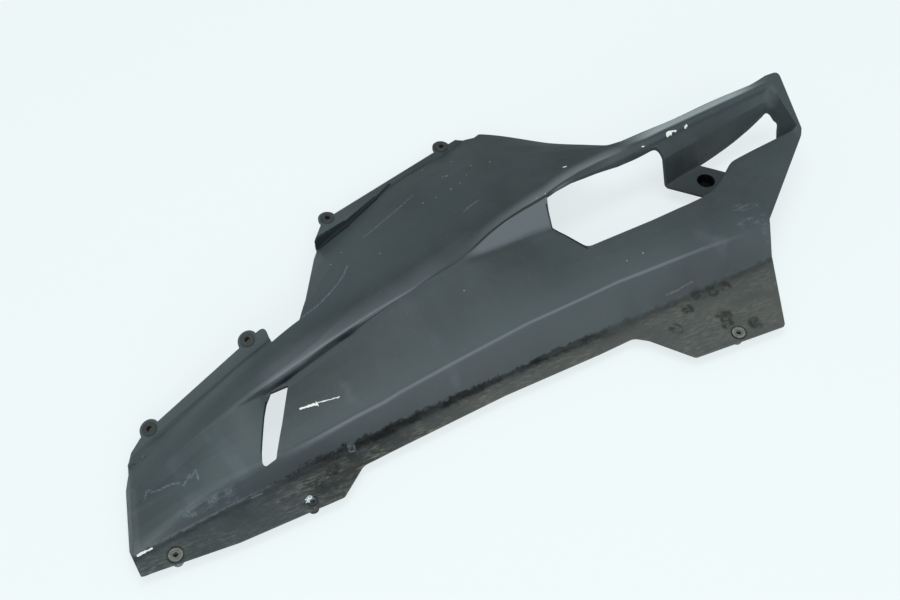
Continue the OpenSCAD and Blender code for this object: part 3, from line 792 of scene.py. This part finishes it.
def marks(n, flat, cloud):
    """Dust, smears, scratches, scuffs and scrapes, laid one over another. Gives the white scrapes."""
    dust = n.ramp(n.noise(0.22, 6, 0.8, shift=91), 0.56, 0.7)
    n.paint(grey(0.11, PALE_GREY), dust, n.ramp(cloud, 0.3, 0.6), 0.3)
    n.paint((0.16, 0.18, 0.21, 1), strokes(n, SMEAR, flat, 7.0), n.ramp(cloud, 0.35, 0.65), 0.12)
    broken = n.ramp(n.noise(0.7, 4, 0.7, shift=17), 0.4, 0.62)
    n.paint((0.24, 0.27, 0.3, 1), strokes(n, PALE, flat, 1.3), broken, 0.55)
    dashes = n.ramp(n.noise(0.35, 5, 0.8, stretch=(0.3, 1.3, 1), shift=83), 0.44, 0.7)
    n.paint((0.2, 0.23, 0.27, 1), strokes(n, SCUFFS, flat, 4.0), dashes, 0.4)
    n.paint((0.16, 0.11, 0.08, 1), strokes(n, BROWN, flat, 0.4), 0.7)
    n.paint((0.3, 0.32, 0.32, 1), strokes(n, dots(SPECKS), flat, 0.4))
    white = strokes(n, WHITE, flat, 0.25)
    n.paint((0.8, 0.77, 0.72, 1), white)
    return white


def panel_plastic():
    n = Nodes("panel_plastic")
    broad = n.noise(0.008, 5, 0.6)
    cloud = n.noise(0.035, 5, 0.65, shift=70)
    still = n.plan(n.x, n.y)
    # shaken a little, so that no mark has a ruled edge
    flat = n.plan(n.math("ADD", n.x, n.swing(n.noise(0.35, 2, shift=5), 2.2)),
                  n.math("ADD", n.y, n.swing(n.noise(0.35, 2, shift=45), 2.2)))
    plain_plastic(n, broad, cloud)
    below, dirt, dark_line, streak = dirty_flange(n, flat)
    shade = edge_light(n, still, below)
    white = marks(n, flat, cloud)
    rough = n.math("ADD", 0.44, n.math("MULTIPLY", broad, 0.14))
    rough = n.math("ADD", rough, n.math("MULTIPLY", dirt, 0.3), clamp=True)
    grain = n.noise(2.6, 2, 0.6)
    height = n.math("SUBTRACT", grain, n.math("MULTIPLY", white, 0.6))
    height = n.math("ADD", height, n.both(streak, dirt, 1.4))
    # dirt, the dark lines and the deep shade hardly shine
    dull = n.most(n.both(dirt, 0.5), n.both(dark_line, 0.9), n.both(shade, 0.9))
    spec = n.math("MULTIPLY", n.math("SUBTRACT", 1.0, dull), 0.5)
    return n.finish(rough, n.bump(height, 0.3, 0.00016), spec=spec)


def away_from(n, spots):
    """Distance on the plan to the nearest of the spots, in mm."""
    here = n.plan(n.x, n.y)
    nearest = None
    for spot in spots:
        far = n.vector("DISTANCE", here, (spot[0], spot[1], 0))
        nearest = far if nearest is None else n.math("MINIMUM", nearest, far)
    return nearest


def ring(n, far, inner, outer, soft=0.4):
    return n.both(n.ramp(far, inner - soft, inner + soft), n.ramp(far, outer + soft, outer - soft))


def simple(name, color, rough, metal=0.0):
    """Dusty rubber or brass, which is caked with dirt on the two sound nuts of the lower flange, with a dark ring
    in the cake and painted shade round the nut's rim.
    """
    n = Nodes(name, color)
    dust = n.both(n.ramp(n.noise(0.6, 3, 0.6), 0.35, 0.7), 0.25)
    n.paint(grey(0.1, (1.04, 1.0, 0.92)), dust)
    far = away_from(n, END_NUTS)
    cake_and_shade_area = n.ramp(far, 14.0, 12.0)
    lumps = n.ramp(n.noise(0.5, 3, 0.6, shift=9), 0.35, 0.65)
    cake_and_shade = n.blend((0.13, 0.125, 0.105, 1), (0.23, 0.225, 0.19, 1), lumps)
    # a dark ring in the cake, then near-black painted shade of the gap round the nut's rim
    cake_and_shade = n.blend(cake_and_shade, (0.02, 0.02, 0.018, 1), n.both(ring(n, far, 3.6, 4.3, 0.35), 0.8))
    cake_and_shade = n.blend(cake_and_shade, (0.012, 0.012, 0.011, 1), n.ramp(far, 5.8, 6.9))
    n.paint(cake_and_shade, cake_and_shade_area, 0.92)
    metallic = n.math("MULTIPLY", metal, n.math("SUBTRACT", 1.0, cake_and_shade_area))
    rough = n.math("ADD", rough, n.math("MULTIPLY", dust, 0.3))
    return n.finish(rough, n.bump(n.noise(2.0, 2), 0.2, 0.0001), metallic)


def torn(name, rubber):
    """Rubber torn away on one side, so that bright metal shows there."""
    n = Nodes(name, rubber)
    bright_at = (WORN_NUT[0] - 1.6, WORN_NUT[1] + 3.4)
    ragged = n.swing(n.noise(0.45, 4, 0.7, shift=3), 9.0)
    far = n.math("ADD", away_from(n, [bright_at]), ragged)
    patch = n.both(n.ramp(far, 3.9, 3.3), n.ramp(n.noise(0.9, 3, 0.7, shift=29), 0.35, 0.5, 0.25, 1.0))
    edge = ring(n, away_from(n, [WORN_NUT]), 6.6, 7.3)
    n.paint((0.12, 0.12, 0.115, 1), edge, n.ramp(n.noise(0.3, 2, shift=14), 0.4, 0.6))
    n.paint((0.62, 0.63, 0.65, 1), patch)
    rough = n.math("SUBTRACT", 0.6, n.math("MULTIPLY", patch, 0.3))
    return n.finish(rough, n.bump(n.noise(0.5, 3), 0.8, 0.0006), n.math("MULTIPLY", patch, 0.6))


def use(obj, mat):
    obj.data.materials.clear()
    obj.data.materials.append(mat)


# ---- the pieces ----
panel = make("panel_skin", *sheet_mesh())
shape = make("outline", *prism(rounded(OUTLINE)))
for spot in LEFT_NUTS + UPPER_NUTS:
    # a little shorter than the outline's prism, so that no two faces lie in one plane
    cut(shape, make("ear", *prism(circle(spot, EAR_R), -59, 119)), "UNION")
cut(panel, shape, "INTERSECT")
rings = [rounded(OPENING), rounded(SLIT), rounded(SLOT), circle(CUP_AT, CUP_HOLE_R, 60)]
rings += [circle(spot, NUT_HOLE_R) for spot in LEFT_NUTS + UPPER_NUTS + END_NUTS + [WORN_NUT]]
cut(panel, make("holes", *joined([prism(r) for r in rings])), "DIFFERENCE")
spots = [prism(circle(spot, SPOT_R, 64), -1.0, SPOT_TOP) for spot in END_NUTS]
cut(panel, make("spots", *joined(spots)), "DIFFERENCE")
# clears the slivers that the booleans leave
bm = bmesh.new()
bm.from_mesh(panel.data)
bmesh.ops.remove_doubles(bm, verts=bm.verts, dist=SLIVER)
bmesh.ops.dissolve_degenerate(bm, edges=bm.edges, dist=SLIVER)
bm.to_mesh(panel.data)
bm.free()
smooth(panel)
use(panel, panel_plastic())
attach(panel, "root")
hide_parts("belly_pan")
cup = make("screw_cup", *lathe(CUP_PROFILE, CUP_AT))
smooth(cup)
use(cup, panel.data.materials[0])
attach(cup, "root")

finishes = {
    "well_nut_sleeves": ("sleeve_rubber", simple("sleeve_rubber", grey(0.022), 0.5)),
    "well_nut_inserts": ("insert_brass", simple("insert_brass", (1.0, 0.76, 0.36, 1), 0.4, 0.1)),
    "worn_well_nut_sleeve": ("worn_rubber", torn("worn_rubber", grey(0.03))),
    "worn_well_nut_insert": ("bare_insert", torn("bare_insert", grey(0.02))),
}
for name, (slot_name, mat) in finishes.items():
    use(nodes[name], mat)

# ---- floor, light and camera, in metres ----
FLOOR_SIZE, FLOOR_DOWN = 30, -0.0002
FLOOR_BASE = (0.8, 0.8, 0.79, 1)
FLOOR_SEEN = (0.22, 0.215, 0.21, 1)
FLOOR_GLOW = (0.67, 0.72, 0.73, 1)
ROOM = (0.84, 0.97, 0.99, 1)
LAMP = (0.85, 0.97, 1.0)
VIEW = Vector((0.26686, 0.54715, -0.79335))
CAMERA_FAR, CAMERA_LENS = 1.25, 51.4

bpy.ops.mesh.primitive_plane_add(size=FLOOR_SIZE, location=(0, 0, FLOOR_DOWN))
floor = bpy.context.object
floor.name = "floor"
floor_mat = bpy.data.materials.new("floor")
floor_mat.use_nodes = True
ft = floor_mat.node_tree
floor_inputs = ft.nodes["Principled BSDF"].inputs
floor_inputs["Roughness"].default_value = 0.9
floor_inputs["Specular IOR Level"].default_value = 0.1
# seen straight on, the white floor is mostly its own colour, so that its shadows stay as pale as in the photo
seen = ft.nodes.new("ShaderNodeLightPath").outputs["Is Camera Ray"]
tone = ft.nodes.new("ShaderNodeMix")
tone.data_type = "RGBA"
tone.inputs[6].default_value = FLOOR_BASE
tone.inputs[7].default_value = FLOOR_SEEN
ft.links.new(seen, tone.inputs[0])
ft.links.new(tone.outputs[2], floor_inputs["Base Color"])
floor_inputs["Emission Color"].default_value = FLOOR_GLOW
ft.links.new(seen, floor_inputs["Emission Strength"])
use(floor, floor_mat)

world = bpy.data.worlds.new("world")
bpy.context.scene.world = world
world.use_nodes = True
wt = world.node_tree
back = wt.nodes["Background"]
back.inputs["Color"].default_value = ROOM
# a white room, a little brighter on the camera's side
sky = wt.nodes.new("ShaderNodeTexCoord").outputs["Generated"]
parts = wt.nodes.new("ShaderNodeSeparateXYZ")
wt.links.new(sky, parts.inputs[0])
side = wt.nodes.new("ShaderNodeMapRange")
for k, v in ((1, 1.0), (2, -1.0), (3, 0.3), (4, 1.0)):
    side.inputs[k].default_value = v
wt.links.new(parts.outputs[1], side.inputs[0])
wt.links.new(side.outputs[0], back.inputs["Strength"])


def area(name, at, size, power):
    """A soft lamp that shines at the middle of the frame."""
    light = bpy.data.lights.new(name, "AREA")
    light.shape = "RECTANGLE"
    light.size, light.size_y = size
    light.energy = power
    light.color = LAMP
    lamp = bpy.data.objects.new(name, light)
    bpy.context.scene.collection.objects.link(lamp)
    lamp.location = at
    lamp.rotation_euler = (Vector((0, 0, 0)) - Vector(at)).to_track_quat("-Z", "Y").to_euler()


area("key", (0.0, 0.1, 1.9), (1.3, 0.6), 12)
area("front", (-0.5, -1.7, 1.2), (2.0, 1.0), 14)

camera_data = bpy.data.cameras.new("camera")
camera = bpy.data.objects.new("camera", camera_data)
bpy.context.scene.collection.objects.link(camera)
camera_data.sensor_fit = "HORIZONTAL"
camera_data.sensor_width = 36
camera_data.lens = CAMERA_LENS
camera.location = place(0, 0, 17) - VIEW * CAMERA_FAR
camera.rotation_mode = "QUATERNION"
camera.rotation_quaternion = VIEW.to_track_quat("-Z", "Y")
bpy.context.scene.camera = camera
bpy.context.scene.view_settings.view_transform = "Standard"
